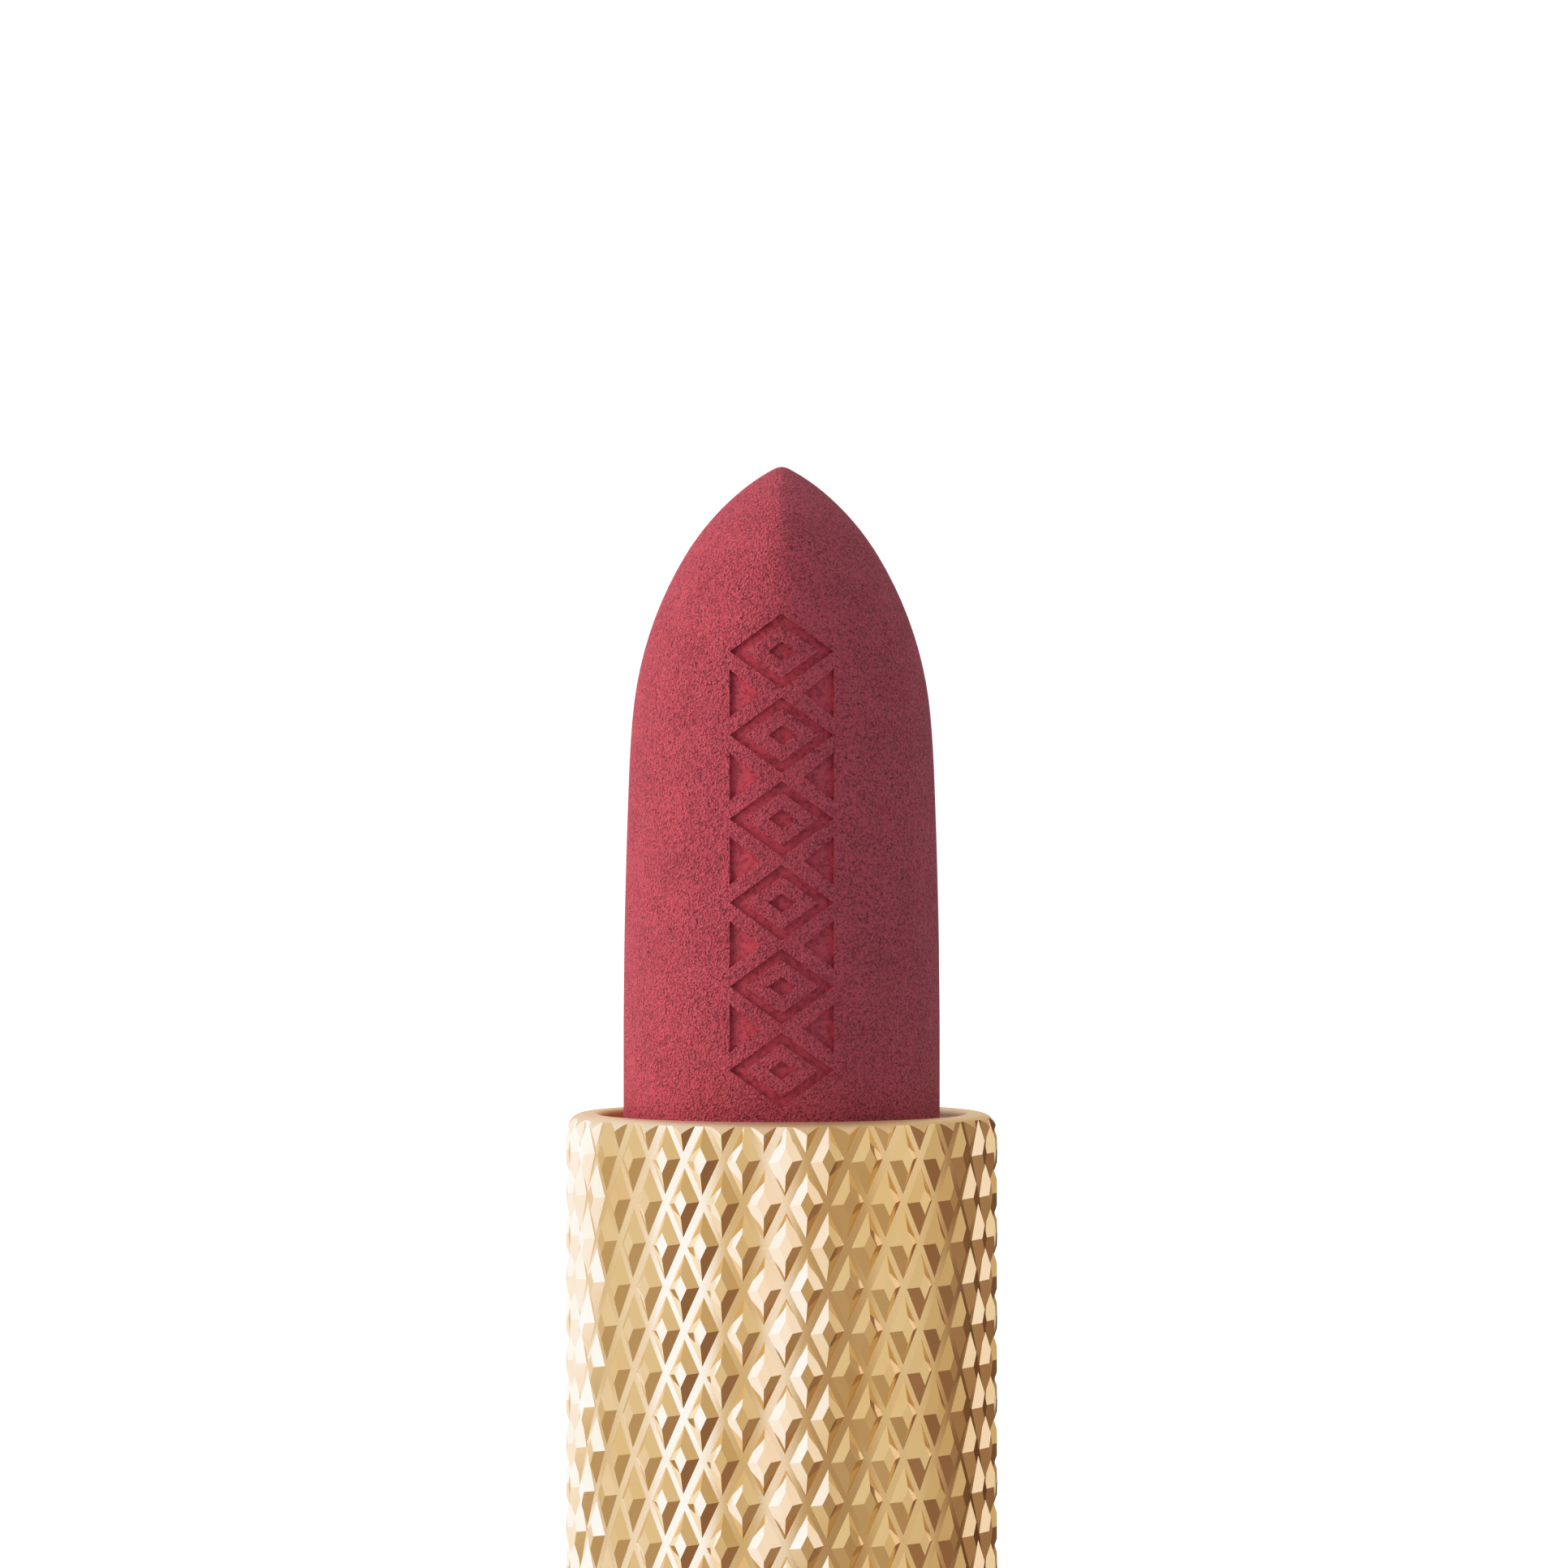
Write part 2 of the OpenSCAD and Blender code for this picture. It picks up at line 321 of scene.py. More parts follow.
# %% [markdown]
# ## The diamond-cut pattern
#
# On the lathe a wheel cuts two families of helical grooves, one leaning each way, and what is left
# between them is a field of small four-sided pyramids with their tips turned off. The surface is
# easiest to write in the grooves' own directions: `p` counts the grooves that lean one way and `q`
# those that lean the other, so every pyramid sits at whole numbers of both. Their sum gives the
# angle round the axis and their difference the height, which is all the mesh needs.
#
# One family is cut wider than the other, as on the real case, which sets each pyramid's left
# corner slightly lower than its right one. The corners of a turned-off tip are put in one plane,
# so that it mirrors as one flat facet. Facets are shaded flat and grooves smooth, because the
# grooves follow the round of the case. The rods reach a couple of rows past what is kept.

# %% Sizes of the pattern
ROW_STEP = 1.59 * MM
CUT_DEPTH = 0.27 * MM
CELL_WIDTH = 1.62 * MM
WIDE_GROOVE = 0.36 * MM
NARROW_GROOVE = 0.24 * MM
TIP_SHARE = 0.155
SPARE_ROWS = 2
# Edges that bend by more degrees than this stay crisp, so a groove isn't shaded into its facets
CREASE = 18
half_p = (1 - WIDE_GROOVE / CELL_WIDTH) / 2
half_q = (1 - NARROW_GROOVE / CELL_WIDTH) / 2
# Corners of a pyramid in groove counts: left, bottom, right, top
CORNERS = {"left": (-1, -1), "bottom": (1, -1), "right": (1, 1), "top": (-1, 1)}
RING = ["left", "bottom", "right", "top"]
print(f"pyramids {(half_p + half_q) * CELL_WIDTH / MM:.2f} mm wide at the foot")


# %% Build a rod with the pattern all round
def diamond_rod(name, radius, cells, zero_z, zero_turn, rows):
    """A solid rod whose side is the diamond-cut pattern, with cells round it in each row."""
    points = []
    known = {}
    faces = []
    kinds = []
    floor_r = radius - CUT_DEPTH
    tip_half_turn = TIP_SHARE * 2 * math.pi / cells

    def corner(p, q, which, tip=False):
        row, column = q - p, (p + q) % (2 * cells)
        key = (row, column, which, tip)
        if key not in known:
            side_p, side_q = CORNERS[which]
            at_p = side_p * (TIP_SHARE if tip else half_p)
            at_q = side_q * (TIP_SHARE if tip else half_q)
            turn = math.pi * (column + at_p + at_q) / cells + zero_turn
            r = floor_r
            if tip:
                r = radius * (math.cos(tip_half_turn) if which in ("bottom", "top") else 1)
            height = zero_z + (row + at_q - at_p) * ROW_STEP
            known[key] = len(points)
            points.append((r * math.sin(turn), -r * math.cos(turn), height))
        return known[key]

    def add(kind, *corners):
        faces.append(corners)
        kinds.append(kind)

    for row in rows:
        for column in range(row % 2, 2 * cells, 2):
            p, q = (column - row) // 2, (column + row) // 2
            add(FACET, *[corner(p, q, which, tip=True) for which in RING])
            for one, two in zip(RING, RING[1:] + RING[:1]):
                add(FACET, corner(p, q, one), corner(p, q, two),
                    corner(p, q, two, tip=True), corner(p, q, one, tip=True))
            if row - 1 in rows:
                add(GROOVE, corner(p, q, "bottom"), corner(p + 1, q, "left"),
                    corner(p + 1, q, "top"), corner(p, q, "right"))
            if row + 1 in rows:
                add(GROOVE, corner(p, q, "top"), corner(p, q, "right"),
                    corner(p, q + 1, "bottom"), corner(p, q + 1, "left"))
            if row - 1 in rows and row + 1 in rows:
                add(GROOVE, corner(p, q, "right"), corner(p + 1, q, "top"),
                    corner(p + 1, q + 1, "left"), corner(p, q + 1, "bottom"))
    return close_rod(name, points, faces, kinds)


def close_rod(name, points, faces, kinds):
    """Caps both open ends of the patterned side with a fan, and sets each face's finish."""
    mesh = bpy.data.meshes.new(name)
    mesh.from_pydata(points, [], faces)
    for material in gold_slots:
        mesh.materials.append(material)
    mesh.polygons.foreach_set("material_index", kinds)
    mesh.polygons.foreach_set("use_smooth", [kind == GROOVE for kind in kinds])
    work = bmesh.new()
    work.from_mesh(mesh)
    middle = sum(v.co.z for v in work.verts) / len(work.verts)
    for is_top in (False, True):
        open_edges = [e for e in work.edges if e.is_boundary]
        rim_edges = [e for e in open_edges if (e.verts[0].co.z > middle) == is_top]
        end_z = sum(e.verts[0].co.z for e in rim_edges) / len(rim_edges)
        hub = work.verts.new((0, 0, end_z))
        for e in rim_edges:
            work.faces.new((*e.verts, hub))
    bmesh.ops.recalc_face_normals(work, faces=work.faces)
    work.to_mesh(mesh)
    work.free()
    rod = bpy.data.objects.new(name, mesh)
    bpy.context.scene.collection.objects.link(rod)
    print(name, "has", len(mesh.polygons), "faces")
    return rod


# %% [markdown]
# ## The neck
#
# The neck is one tube with the pattern over its whole side and a satin rim. Its outline, with the
# rounded outer edge, the crisp mouth and the bore, is turned as an envelope a hair wider than the
# pattern, and only what lies inside both the envelope and the patterned rod is kept. The rounding
# therefore cuts through the topmost pyramids just as the turning tool does.

# %% Make the neck
RIM_WIDTH = 1.28 * MM
LIP_HEIGHT = 1.2 * MM
RIM_ROUND = 0.7 * MM
MOUTH_ROUND = 0.22 * MM
HAIR = 0.002 * MM
SLACK = 0.05 * MM
FIRST_ROW_BELOW_RIM = 1.42 * MM
NECK_CELLS = 32
NECK_TURN = math.radians(1.05)
mouth_r = neck_r - RIM_WIDTH
round_r = neck_r + HAIR - RIM_ROUND
round_z = rim_z - RIM_ROUND
neck_outline = (
    [(neck_bore_r, neck_low.z), (neck_r + SLACK, neck_low.z), (neck_r + SLACK, round_z)]
    + arc(round_r, round_z, RIM_ROUND, 0, 90, steps=12)
    + arc(mouth_r + MOUTH_ROUND, rim_z - MOUTH_ROUND, MOUTH_ROUND, 90, 180, steps=6)
    + [(mouth_r, rim_z - LIP_HEIGHT), (neck_bore_r, rim_z - LIP_HEIGHT)]
)
neck = turned("diamond_cut_neck", neck_outline, gold_slots, RIM)
neck_zero_z = rim_z - FIRST_ROW_BELOW_RIM
lowest_row = math.floor((neck_low.z - neck_zero_z) / ROW_STEP) - SPARE_ROWS
highest_row = math.ceil((rim_z - neck_zero_z) / ROW_STEP) + SPARE_ROWS
neck_rows = range(lowest_row, highest_row + 1)
neck_rod = diamond_rod("neck_rod", neck_r, NECK_CELLS, neck_zero_z, NECK_TURN, neck_rows)
carve(neck, neck_rod, "INTERSECT")
neck.data.set_sharp_from_angle(angle=math.radians(CREASE))
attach(neck, "neck")
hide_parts("neck_shell")

# %% [markdown]
# ## The base
#
# The base carries the same pattern between two plain satin collars. Here the pattern has to
# stop short of both ends, so it is cut the other way round: a ring is turned over the patterned
# part, the rod is taken out of it, and what is left of the ring is a tool that cuts the pattern
# into the plain shell. Slightly more cells go round the wider base, so they keep their size.

# %% Make the base
FOOT_ROUND = 0.6 * MM
SHOULDER_ROUND = 0.4 * MM
STAND_WIDTH = 0.95 * MM
STAND_HEIGHT = 1.2 * MM
COLLAR = 1.7 * MM
TOOL_SLACK = 1.0 * MM
TOOL_DEPTH = 1.5 * CUT_DEPTH
BASE_CELLS = 37
stand_r = base_r - STAND_WIDTH
base_top = base_high.z
base_outline = (
    [(stand_r, 0)]
    + arc(base_r - FOOT_ROUND, FOOT_ROUND, FOOT_ROUND, -90, 0)
    + arc(base_r - SHOULDER_ROUND, base_top - SHOULDER_ROUND, SHOULDER_ROUND, 0, 90)
    + [(base_bore_r, base_top), (base_bore_r, STAND_HEIGHT), (stand_r, STAND_HEIGHT)]
)
base = turned("diamond_cut_base", base_outline, gold_slots, RIM)
cut_low = COLLAR
cut_high = base_top - COLLAR
tool_in = base_r - TOOL_DEPTH
tool_out = base_r + TOOL_SLACK
tool_outline = [(tool_in, cut_low), (tool_out, cut_low), (tool_out, cut_high), (tool_in, cut_high)]
base_tool = turned("base_tool", tool_outline, gold_slots, RIM)
base_zero_z = (cut_low + cut_high) / 2
half_rows = math.ceil((cut_high - cut_low) / 2 / ROW_STEP) + SPARE_ROWS
base_rows = range(-half_rows, half_rows + 1)
base_rod = diamond_rod("base_rod", base_r - HAIR, BASE_CELLS, base_zero_z, 0, base_rows)
carve(base_tool, base_rod, "DIFFERENCE")
carve(base, base_tool, "DIFFERENCE")
base.data.set_sharp_from_angle(angle=math.radians(CREASE))
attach(base, "base")
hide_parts("base_shell")

# %% [markdown]
# ## The wax bullet
#
# The bullet is cast nose-down in a mould made in two halves. The outline from the tip is a chain of
# arcs that run into one another. Near the tip the cross-section isn't round: the halves of the
# mould meet in a soft ridge down the front and the back. The ridge stands out by a share of the
# radius, the same share that the bullet still lacks of its full width, so it fades out further
# down and the outline seen from the side only ever widens. A section made of two overlapping
# circles gives that ridge, and its distance from the axis has a formula, so each ring of the mesh
# can be written down directly.

# %% Outline of the tip
# Each arc ends at this angle to the axis, in degrees, and has this radius, in millimetres before
# the whole outline is scaled to the bullet
TIP_ARCS = [(62, 0.6), (50, 7.7), (31, 10), (5, 14.5), (2.3, 45), (0.3, 280)]


def tip_outline(arc_steps=10):
    """Radius and depth below the tip along the arcs, scaled to end at the bullet's radius."""
    outline = [np.zeros(2)]
    angle = 90.0
    for end, radius in TIP_ARCS:
        start = outline[-1]
        from_angle = math.radians(angle)
        for a in np.radians(np.linspace(angle, end, arc_steps + 1)[1:]):
            step = (math.cos(a) - math.cos(from_angle), math.sin(from_angle) - math.sin(a))
            outline.append(start + radius * np.array(step))
        angle = end
    outline = np.array(outline)
    return outline * (wax_r / outline[-1][0])


tip = tip_outline()
print(f"the outline reaches full width {tip[-1][1] / MM:.1f} mm below the tip")

# %% Mesh of the bullet
RIDGE_POWER = 2.0
# How round the ridge is at the tip, and how much rounder with each millimetre further down
RIDGE_SOFT = 0.02
RIDGE_SOFTER = 0.02
CUP_FIT = 0.01 * MM
CURVED_DEPTH = 6 * MM
RING_STEP = 0.25 * MM
# Rings that would lie above the tip of a bullet drawn in are laid this share of the inset down
JUST_BELOW = 1.01


def wax_ring(depth, inset):
    """Distances from the axis all round the bullet, at one depth below the tip."""
    radius = np.interp(depth, tip[:, 1], tip[:, 0])
    if wax_high.z - depth < cup_edge_z:
        radius -= CUP_FIT
    turn = np.linspace(0, 2 * math.pi, AROUND, endpoint=False)
    front = wax_r * (1 - max(0, 1 - radius / wax_r) ** RIDGE_POWER)
    shift = max(0, front**2 - radius**2) / (2 * radius)
    soft = RIDGE_SOFT + RIDGE_SOFTER * depth / MM
    side = (np.sqrt(np.sin(turn) ** 2 + soft**2) - soft) / (math.sqrt(1 + soft**2) - soft)
    reach = np.sqrt((radius + shift) ** 2 - (shift * np.cos(turn)) ** 2) - shift * side
    return turn, np.maximum(reach - inset, 0)


def wax_solid(name, inset, slots, slot_index=0):
    """The bullet's solid, drawn in by inset all round and at the tip."""
    upper = [d for d in tip[1:, 1] if d < CURVED_DEPTH]
    bottom = wax_high.z - wax_low.z
    depths = upper + list(np.arange(CURVED_DEPTH, bottom, RING_STEP)) + [bottom]
    points = [(0, 0, wax_high.z - inset)]
    for depth in depths:
        turn, reach = wax_ring(depth, inset)
        height = wax_high.z - max(depth, JUST_BELOW * inset)
        points += list(zip(reach * np.sin(turn), -reach * np.cos(turn), np.full(len(turn), height)))
    points.append((0, 0, wax_low.z))
    faces = []
    last = len(depths) - 1
    lowest = 1 + last * AROUND
    for k in range(AROUND):
        right = (k + 1) % AROUND
        faces.append((0, 1 + k, 1 + right))
        faces.append((lowest + right, lowest + k, len(points) - 1))
        for ring in range(last):
            here = 1 + ring * AROUND
            below = here + AROUND
            faces.append((here + k, below + k, below + right, here + right))
    return new_piece(name, points, faces, slots, slot_index)


# %% [markdown]
# The front of the bullet is pressed with a motif while it is still in the mould. Here it is a chain
# of open lozenges that repeats the pattern of the case, each with a small lozenge inside, and a
# wedge at either side of each joint of the chain. The stamp is made of level prisms that run into
# the front of the bullet. A copy of the bullet, a fifth of a millimetre smaller, is taken out of
# them first, so that the floor of the motif follows the round of the wax at even depth.
#
# The wax has two finishes. Its skin is grainy, with small pits whose darkness is painted shade, and
# pink flecks. The floor of the motif is smooth where the mould touched it, and is evenly darkened a
# little with painted shade.

# %% Finish of the wax
ROSE = rgb(0.84, 0.088, 0.120)
DEEP_ROSE = rgb(0.48, 0.039, 0.058)
PINK_FLECK = rgb(0.80, 0.18, 0.23)
# Painted shade: the dark colour that the pits are tinted towards, and the whole floor of the motif
# a little
PIT_SHADE = rgb(0.22, 0.018, 0.034)


def wax_finish(name, grain_depth, grain):
    """Matte rose wax. Grain is 1 for the skin and 0 for the smooth floor of the motif."""
    material, place = start_finish(name)
    peel = speckle(place, 0.22 * MM, detail=4.0, rough=0.75)
    skin = speckle(place, 0.085 * MM, detail=1.0)
    # The pits are real hollows in the relief below, and their colour is also darkened as painted
    # shade
    shaded_pits = 1 - speckle(place, 0.11 * MM, detail=1.0).between(0.25, 0.34)
    flecks = speckle(place, 0.12 * MM, detail=1.0).between(0.62, 0.75)
    patches = speckle(place, 1.6 * MM)
    tone = 0.15 * patches + (0.85 - 0.5 * grain) * peel + 0.5 * grain * skin
    tone = tone.between(0.39, 0.57).blend(DEEP_ROSE, ROSE)
    tone = (0.5 * grain * flecks).blend(tone, PINK_FLECK)
    # Painted shade: the pits of the skin darken strongly, and the smooth floor of the motif darkens
    # evenly by about a fifth
    tone = (0.65 * grain * shaded_pits + 0.22 * (1 - grain)).blend(tone, PIT_SHADE)
    height = 0.6 * peel + 0.8 * skin - 0.8 * shaded_pits
    return close_finish(
        material,
        place,
        {
            "Base Color": tone,
            "Roughness": 0.72 + 0.16 * peel,
            "Specular IOR Level": 0.35,
            "Sheen Weight": 0.06,
            "Sheen Roughness": 0.5,
            "Normal": relief(height, grain_depth),
        },
    )


rose_wax = wax_finish("rose_wax", 0.25 * MM, 1.0)
pressed_wax = wax_finish("pressed_wax", 0.008 * MM, 0.0)

# %% Sizes of the motif
MOTIF_DEPTH = 0.21 * MM
MOTIF_TOP = 5.6 * MM
MOTIF_HALF_WIDTH = 1.95 * MM
LOZENGES = 6
STROKE = 0.34 * MM
GAP = 0.30 * MM
SEED_SHARE = 0.36
WEDGE_GAP = 0.52 * MM
pitch = (wax_high.z - MOTIF_TOP - rim_z - GAP) / LOZENGES
stamp_front = -1.3 * wax_r
stamp_back = -0.55 * wax_r
print(f"{LOZENGES} lozenges, one every {pitch / MM:.2f} mm")


# %% Stamp of the motif
def add_prism(points, faces, loop, hole=None):
    """Adds a level prism to the stamp. Its loop is a list of (x, z), and so is a hole in it."""
    rings = [loop] if hole is None else [loop, hole]
    count = len(loop)
    deep = count * len(rings)
    first = len(points)
    for y in (stamp_front, stamp_back):
        for ring in rings:
            points += [(x, y, z) for x, z in ring]
    for k in range(count):
        near = (k + 1) % count
        for ring in range(len(rings)):
            a, b = first + ring * count + k, first + ring * count + near
            faces.append((a, b, b + deep, a + deep))
        if hole is not None:
            for end in (first, first + deep):
                faces.append((end + k, end + near, end + count + near, end + count + k))
    if hole is None:
        faces.append(tuple(range(first, first + count)))
        faces.append(tuple(range(first + deep, first + deep + count)))


def lozenge(middle, half_width, half_height):
    """Corners of a lozenge on the bullet's middle line, at a height."""
    return [
        (-half_width, middle),
        (0, middle - half_height),
        (half_width, middle),
        (0, middle + half_height),
    ]


def drawn_in(half_width, half_height, gap):
    """Half sizes of a lozenge whose sides lie inside those of another by the gap."""
    slant = math.hypot(half_width, half_height)
    return half_width - gap * slant / half_height, half_height - gap * slant / half_width


def stamp_prisms():
    """Points and faces of the lozenge frames, the seeds in them and the wedges between them."""
    points = []
    faces = []
    half_height = (pitch - GAP) / 2
    inner = drawn_in(MOTIF_HALF_WIDTH, half_height, STROKE)
    wedge_width, wedge_height = drawn_in(MOTIF_HALF_WIDTH, pitch / 2, WEDGE_GAP)
    for k in range(LOZENGES):
        middle = wax_high.z - MOTIF_TOP - pitch * (k + 0.5)
        outline = lozenge(middle, MOTIF_HALF_WIDTH, half_height)
        add_prism(points, faces, outline, hole=lozenge(middle, *inner))
        add_prism(points, faces, lozenge(middle, SEED_SHARE * inner[0], SEED_SHARE * inner[1]))
        if k > 0:
            joint = middle + pitch / 2
            for side in (-1, 1):
                outer = side * MOTIF_HALF_WIDTH
                inner_x = outer - side * wedge_width
                low, high = joint - wedge_height, joint + wedge_height
                add_prism(points, faces, [(outer, low), (outer, high), (inner_x, joint)])
    return points, faces


# %% Press the motif into the bullet
wax_slots = [rose_wax, pressed_wax]
bullet = wax_solid("pressed_bullet", 0, wax_slots)
stamp = new_piece("stamp", *stamp_prisms(), wax_slots, slot_index=1, smooth=False)
core = wax_solid("core", MOTIF_DEPTH, wax_slots, slot_index=1)
carve(stamp, core, "DIFFERENCE")
carve(bullet, stamp, "DIFFERENCE")
bullet.data.set_sharp_from_angle(angle=math.radians(40))
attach(bullet, "lift")
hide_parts("lipstick_bullet")

# %% [markdown]
# ## The parts inside
#
# The other pieces keep their own meshes. Most are hidden in the closed case, but a reader may
# take it apart, and some show in the gap around the bullet. Moulded plastic gets a faint orange
# peel, drawn and turned metal gets rings round the axis, and rubber gets a dull bloom.


# %% Plain finishes
def moulded(name, dark, light, roughness, grain, depth):
    """Moulded or rubbery stuff with a fine skin."""
    material, place = start_finish(name)
    skin = speckle(place, grain, detail=3.0)
    cloud = speckle(place, 3 * MM)
    return close_finish(
        material,
        place,
        {
            "Base Color": cloud.between(0.3, 0.7).blend(dark, light),
            "Roughness": roughness * (0.85 + 0.3 * skin),
            "Normal": relief(skin, depth),
        },
    )


def turned_metal(name, dark, light, roughness, ring_step):
    """Bare metal with the fine rings that a lathe or a drawing die leaves."""
    material, place = start_finish(name)
    rings = speckle(stretched(place, 0.05, 0.05, 1), ring_step)
    cloud = speckle(place, 2 * MM)
    return close_finish(
        material,
        place,
        {
            "Base Color": cloud.between(0.3, 0.7).blend(dark, light),
            "Metallic": 1.0,
            "Roughness": roughness * (0.75 + 0.5 * rings),
            "Normal": relief(rings, 0.004 * MM),
        },
    )


ivory_plastic = moulded(
    "ivory_plastic", rgb(0.74, 0.69, 0.58), rgb(0.86, 0.82, 0.73), 0.42, 0.25 * MM, 0.004 * MM
)
brake_rubber = moulded(
    "brake_rubber", rgb(0.018, 0.017, 0.016), rgb(0.045, 0.043, 0.040), 0.75, 0.12 * MM, 0.010 * MM
)
foam_adhesive = moulded(
    "foam_adhesive", rgb(0.80, 0.77, 0.68), rgb(0.88, 0.86, 0.80), 0.65, 0.18 * MM, 0.015 * MM
)
gilt_plastic = turned_metal(
    "gilt_plastic", rgb(0.78, 0.60, 0.34), rgb(0.88, 0.71, 0.45), 0.30, 0.20 * MM
)
drawn_aluminium = turned_metal(
    "drawn_aluminium", rgb(0.66, 0.67, 0.69), rgb(0.80, 0.81, 0.82), 0.32, 0.10 * MM
)
turned_steel = turned_metal(
    "turned_steel", rgb(0.38, 0.38, 0.39), rgb(0.52, 0.52, 0.53), 0.38, 0.22 * MM
)

# %% Give every kept piece its finish
KEPT_FINISHES = {
    "seat_ring": gold_satin,
    "bottom_disc": gold_satin,
    "base_liner": ivory_plastic,
    "guide_foot": ivory_plastic,
    "thrust_washer": ivory_plastic,
    "spiral_tube": ivory_plastic,
    "guide_tube": gilt_plastic,
    "lipstick_cup": gilt_plastic,
    "spiral_sleeve": drawn_aluminium,
    "base_weight": turned_steel,
    "brake_ring_lower": brake_rubber,
    "brake_ring_upper": brake_rubber,
    "disc_adhesive": foam_adhesive,
}
for name, finish in KEPT_FINISHES.items():
    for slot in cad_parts[name].material_slots:
        slot.material = finish
print("finished", len(KEPT_FINISHES), "kept pieces")

# %% [markdown]
# ## The studio
#
# Gold has hardly any colour of its own until it has something to mirror, so metal is lit in a
# light tent: a shell round the object, white on one side and brown on the other, with soft
# passages between. Here it is one sphere that only mirrors see. A formula gives its tone, from 0
# to 1, for each direction: azimuth in degrees from the front towards the right, and height in
# degrees above the horizon. A ramp then turns tone into colour. It is warmer where it is darker,
# as brown card is, and cool where it is white, because gold takes the blue out of what it mirrors.


# %% Sheets for the tent, the lights and the floor
def sheet_of(name, point_at, spans, finish, steps=16, middle=(0, 0, 0)):
    """A sheet of quads over two spans of numbers, laid round its middle by a function of both."""
    across = np.linspace(*spans[0], steps + 1)
    up = np.linspace(*spans[1], steps + 1)
    points = [point_at(a, b) for b in up for a in across]
    faces = []
    for j in range(steps):
        for i in range(steps):
            k = j * (steps + 1) + i
            faces.append((k, k + 1, k + steps + 2, k + steps + 1))
    sheet = new_piece(name, points, faces, [finish])
    sheet.location = middle
    print("sheet", name, "with", len(faces), "quads")
    return sheet


def seen_only_by(sheet, camera=False, mirrors=False, matte=False):
    """Sets which surfaces see a sheet. It never casts a shadow."""
    sheet.visible_camera = camera
    sheet.visible_glossy = mirrors
    sheet.visible_diffuse = matte
    sheet.visible_transmission = mirrors
    sheet.visible_shadow = False


def direction(azimuth, height):
    """The unit vector towards an azimuth and a height in degrees."""
    a, h = math.radians(azimuth), math.radians(height)
    return Vector((math.sin(a) * math.cos(h), -math.cos(a) * math.cos(h), math.sin(h)))


def glow(material, place, colour, strength):
    """Makes the material a light of this colour, which may vary over it."""
    light = place.node("Emission", {}, {"Color": colour, "Strength": strength})
    place.node("OutputMaterial", {}, {"Surface": light})
    return material


# %% Tone of the tent in every direction
TENT_AWAY = 0.45
TENT_STRENGTH = 1.6
TENT_STEPS = 96
MIRRORED_BAND = -4
TENT_SHADES = [
    (0.00, rgb(0.06, 0.028, 0.015)),
    (0.22, rgb(0.19, 0.103, 0.055)),
    (0.45, rgb(0.365, 0.27, 0.145)),
    (0.62, rgb(0.505, 0.425, 0.285)),
    (0.80, rgb(0.645, 0.61, 0.64)),
    (1.00, rgb(0.66, 0.75, 0.97)),
]


def inside(wire, start, start_full, end_full, end):
    """1 from start_full to end_full, and falling softly to 0 at start and at end."""
    return wire.between(start, start_full) * (1 - wire.between(end_full, end))


def open_side_tone(azimuth, height, level):
    """Gold, with a lamp in front; on the right it is brown with a pale strip and a dark gap."""
    above_table = height.between(-28, 10)
    front = 0.38 + 0.22 * above_table + 0.15 * height.between(35, 75)
    right = inside(azimuth, -8, 28, 140, 175) * (0.20 - 0.05 * above_table)
    strip = inside(azimuth, 38, 60, 80, 104) * (0.10 + 0.20 * above_table)
    gap = inside(azimuth, 95, 122, 140, 158) * (0.30 - 0.20 * level.between(10, 26))
    lamp = inside(azimuth, -13, -8, 4, 9) * (1 - level.between(6, 12))
    back = azimuth.math("ABSOLUTE", azimuth).between(140, 165)
    return front - right + strip - gap + 0.32 * lamp + 0.12 * back


def tent_tone(azimuth, height):
    """The open side, and on the left a white wall that leans back and has a door in it."""
    # Upright facets mirror a band just below the horizon, and level is the angle away from it
    above_band = height - MIRRORED_BAND
    level = height.math("ABSOLUTE", above_band)
    open_side = open_side_tone(azimuth, height, level)
    wall_edge = azimuth + 0.45 * level + 0.15 * above_band
    wall_foot = height + 0.08 * azimuth
    wall = azimuth.between(-156, -136) * (1 - wall_edge.between(-44, -28))
    wall = wall * wall_foot.between(-40.5, -37)
    door = inside(azimuth, -130, -118, -77, -68) * (1 - level.between(5, 10))
    wall_tone = 0.77 + 0.12 * azimuth.between(-112, -92) + 0.23 * height.between(-28, -10)
    return open_side + wall * (wall_tone - 0.46 * door - open_side)


tent_cloth, tent_place = start_finish("tent_cloth")
east, north, up = [tent_place.node("SeparateXYZ", {}, {0: tent_place}, output=k) for k in range(3)]
tent_azimuth = math.degrees(1) * east.math("ARCTAN2", east, -1 * north)
tent_height = math.degrees(1) * up.math("ARCSINE", up * (1 / TENT_AWAY))
tone = tent_tone(tent_azimuth, tent_height)
shade = tone.node("ValToRGB", {"stops": TENT_SHADES}, {0: tone})
glow(tent_cloth, tent_place, shade, TENT_STRENGTH)
tent_span = ((-180, 180), (-90, 90))
tent = sheet_of(
    "tent", lambda a, h: TENT_AWAY * direction(a, h), tent_span, tent_cloth, TENT_STEPS, heart
)
seen_only_by(tent, mirrors=True)

# %% [markdown]
# The wax is matte, and it needs light rather than something to mirror. One big softbox stands on
# its left, and everything else is a low, cool light from all round, so the right side falls to
# about two fifths of the left. The floor glows by itself, more so further out, because it stands
# for the endless white of the room: close to the case it still takes a soft shade. Behind it all
# is a white dome that only the camera sees.

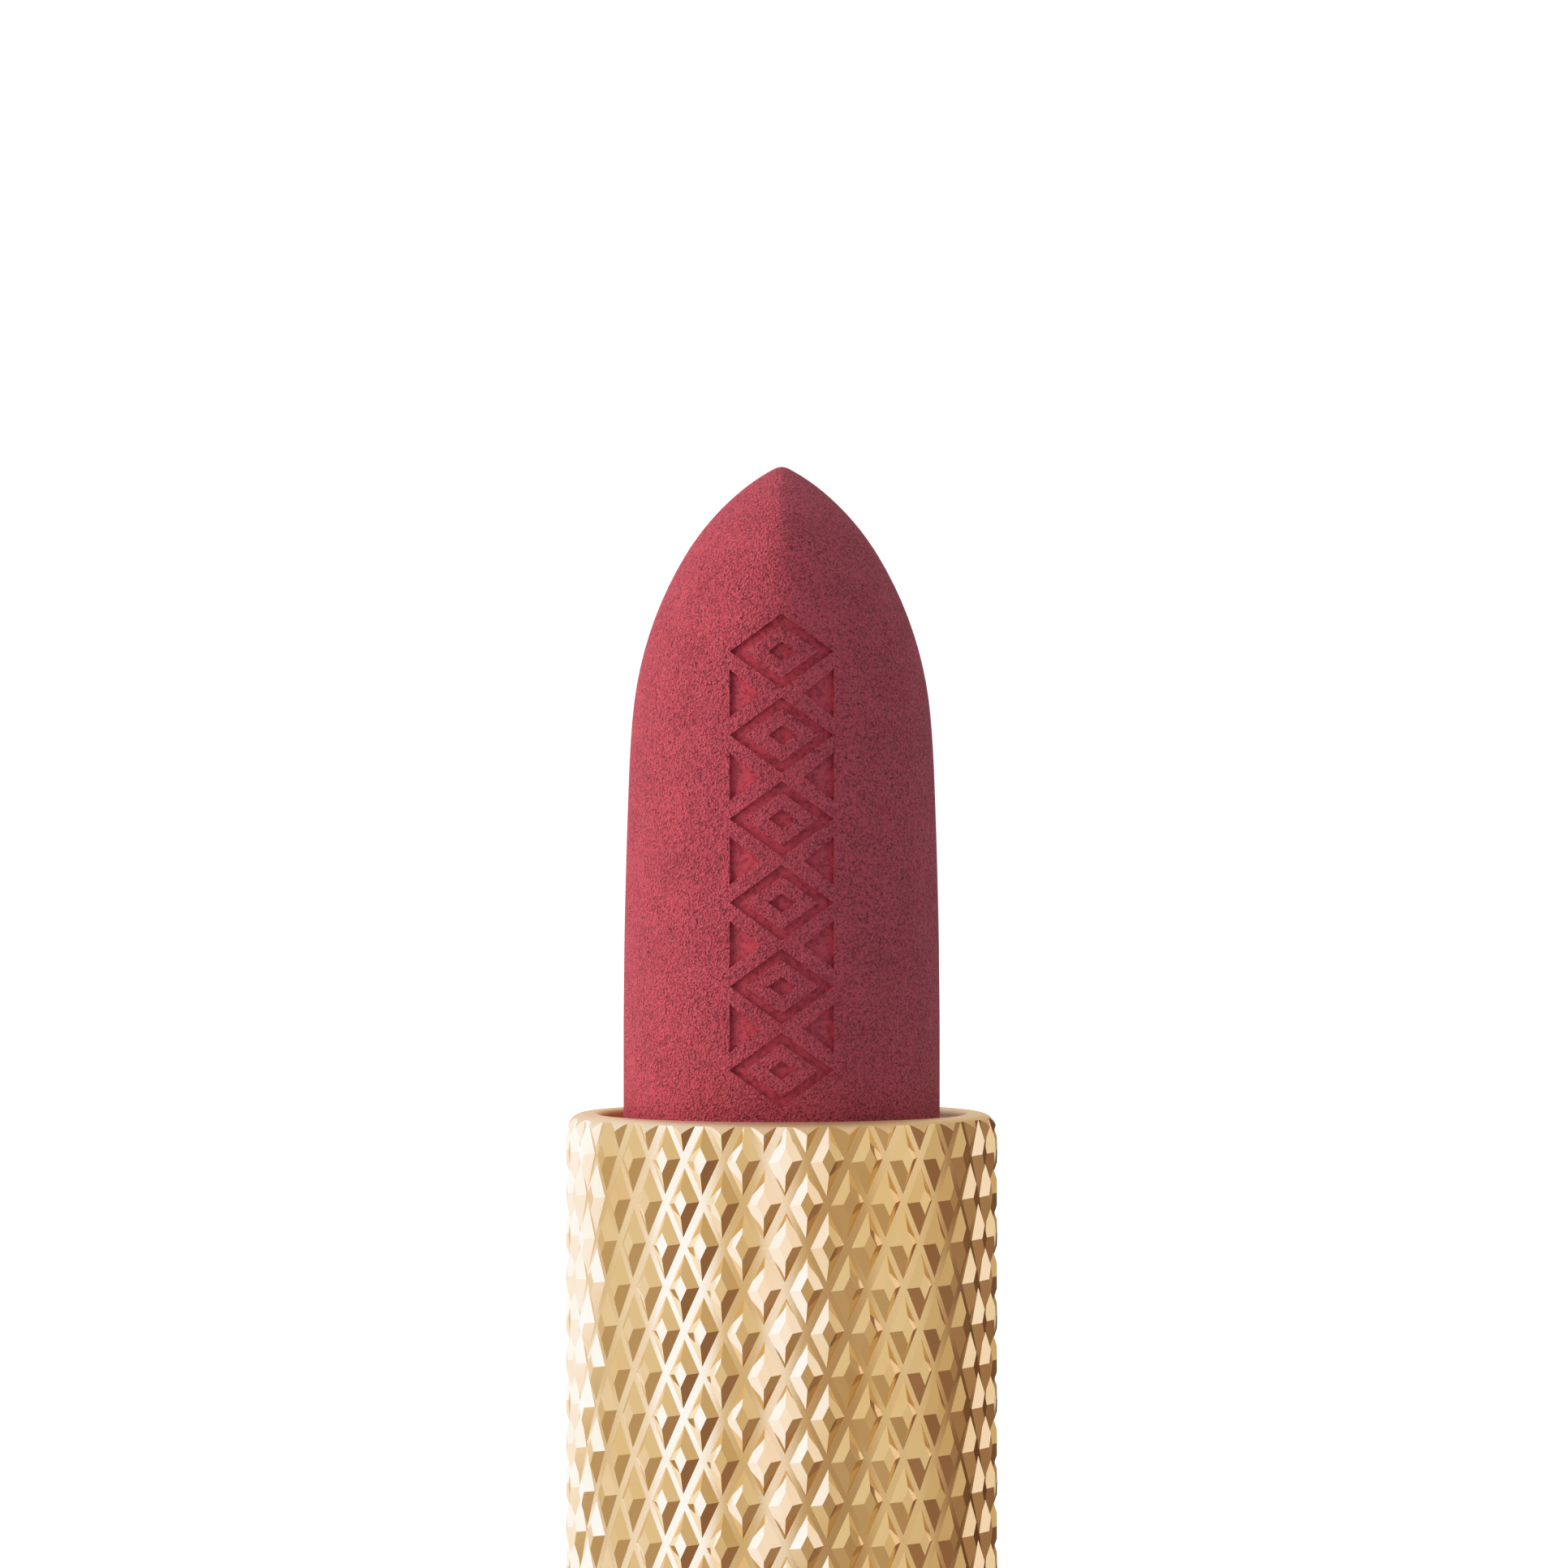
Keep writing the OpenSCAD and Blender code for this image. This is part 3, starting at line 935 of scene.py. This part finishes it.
# %% Light for the wax, floor and dome
SOFTBOX_AWAY = 0.40
SOFTBOX_STRENGTH = 2.5
softbox_span = ((-108, -48), (-20, 55))
softbox_cloth = glow(*start_finish("softbox_cloth"), rgb(1.0, 0.97, 0.95), SOFTBOX_STRENGTH)
softbox = sheet_of(
    "softbox",
    lambda a, h: SOFTBOX_AWAY * direction(a, h),
    softbox_span,
    softbox_cloth,
    middle=heart,
)
seen_only_by(softbox, matte=True)

FLOOR_HALF = 2.0
SHADE_REACH = (0.04, 0.20)
floor_finish, floor_place = start_finish("pale_floor")
floor_grain = speckle(floor_place, 6 * MM, detail=4.0)
to_length = {"operation": "LENGTH"}
floor_reach = floor_place.node("VectorMath", to_length, {0: floor_place}, output="Value")
floor_glow = floor_reach.between(*SHADE_REACH)
close_finish(
    floor_finish,
    floor_place,
    {
        "Base Color": floor_grain.blend(rgb(0.90, 0.885, 0.87), rgb(0.94, 0.925, 0.91)),
        "Roughness": 0.6,
        "Emission Color": floor_glow.blend(rgb(0.55, 0.48, 0.42), rgb(1, 1, 1)),
        "Emission Strength": 1.0,
    },
)
floor_span = ((-FLOOR_HALF, FLOOR_HALF), (-FLOOR_HALF, FLOOR_HALF))
floor = sheet_of("floor", lambda x, y: (x, y, 0), floor_span, floor_finish, steps=2)
seen_only_by(floor, camera=True)

DOME_AWAY = 2.6
DOME_STRENGTH = 1.05
DOME_STEPS = 32
dome_span = ((0, 360), (-3, 90))
dome_finish = glow(*start_finish("dome_white"), rgb(1, 1, 1), DOME_STRENGTH)
dome = sheet_of(
    "dome", lambda a, h: DOME_AWAY * direction(a, h), dome_span, dome_finish, DOME_STEPS, heart
)
seen_only_by(dome, camera=True)

ROOM_STRENGTH = 0.52
room = bpy.data.worlds.new("room")
room.use_nodes = True
room_light = room.node_tree.nodes["Background"]
room_light.inputs["Color"].default_value = rgb(0.66, 0.83, 1.0)
room_light.inputs["Strength"].default_value = ROOM_STRENGTH
bpy.context.scene.world = room
print("studio ready")
